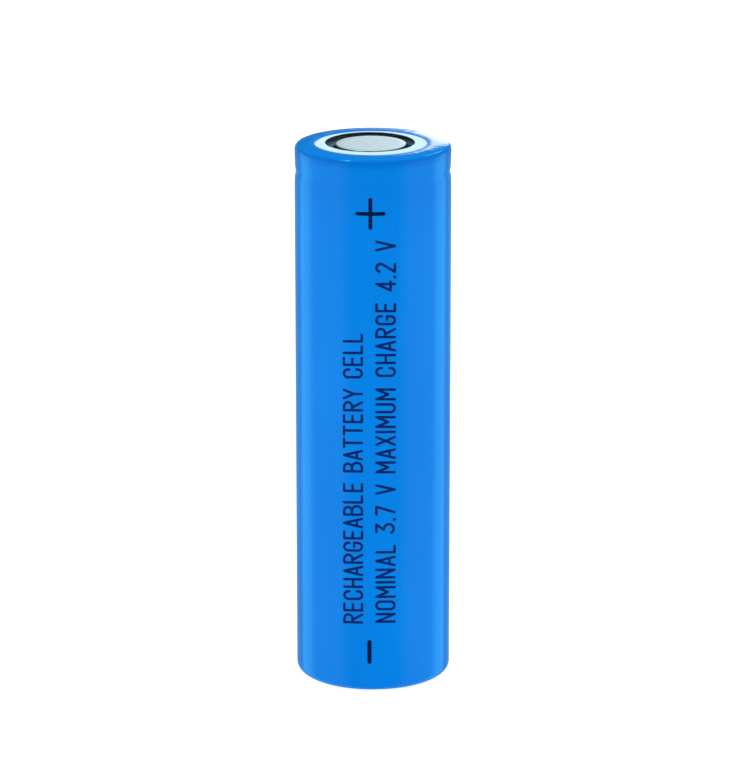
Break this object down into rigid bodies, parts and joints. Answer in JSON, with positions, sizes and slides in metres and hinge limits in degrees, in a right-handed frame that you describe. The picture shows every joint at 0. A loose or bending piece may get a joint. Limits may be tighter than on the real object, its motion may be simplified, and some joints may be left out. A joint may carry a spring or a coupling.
{
  "type": "cylindrical battery cell",
  "caption": "Cylindrical lithium-ion cell: blue shrink sleeve over a beaded steel can, white fibre washer, flat positive cap, and inside it the vent parts and the wound roll.",
  "frame": {"origin": "centre of the negative end, on the plane the cell stands on", "axes": "+Z along the cell's axis towards the positive terminal; +X and +Y across it, with the cathode tab leaving the wound roll on the +X side"},
  "size_m": [0.0186, 0.0186, 0.065],
  "materials": {
    "shrink_sleeve": "thin heat-shrunk film, glossy, bright blue",
    "insulating_washer": "pressed fibre, white, matt",
    "steel_can": "nickel-plated deep-drawn steel, semi-bright",
    "sealing_gasket": "moulded polypropylene, black",
    "positive_cap": "nickel-plated pressed steel, smooth",
    "ptc_ring": "nickel foil faces on a conductive polymer, dull",
    "vent_disc": "pressed aluminium, scored",
    "cid_insulator_ring": "moulded plastic, off-white",
    "cid_weld_plate": "stamped aluminium with six holes",
    "cathode_sheet": "black oxide coating on aluminium foil, matt",
    "anode_sheet": "graphite coating on copper foil, dark grey",
    "inner_separator": "microporous polymer film, white",
    "outer_separator": "microporous polymer film, white",
    "roll_closing_tape": "adhesive tape, pale yellow",
    "center_pin": "slit stainless tube",
    "cathode_tab": "aluminium strip",
    "cathode_tab_tape": "polyimide tape, amber",
    "anode_tab": "nickel strip",
    "anode_tab_tape": "polyimide tape, amber",
    "upper_insulator": "die-cut plastic sheet, off-white",
    "lower_insulator": "die-cut plastic sheet, off-white"
  },
  "bodies": {
    "root": {"shrink_sleeve": "shrink_sleeve", "insulating_washer": "insulating_washer", "steel_can": "steel_can", "sealing_gasket": "sealing_gasket", "positive_cap": "positive_cap", "ptc_ring": "ptc_ring", "vent_disc": "vent_disc", "cid_insulator_ring": "cid_insulator_ring", "cid_weld_plate": "cid_weld_plate", "cathode_sheet": "cathode_sheet", "anode_sheet": "anode_sheet", "inner_separator": "inner_separator", "outer_separator": "outer_separator", "roll_closing_tape": "roll_closing_tape", "center_pin": "center_pin", "cathode_tab": "cathode_tab", "cathode_tab_tape": "cathode_tab_tape", "anode_tab": "anode_tab", "anode_tab_tape": "anode_tab_tape", "upper_insulator": "upper_insulator", "lower_insulator": "lower_insulator"}
  },
  "joints": []
}
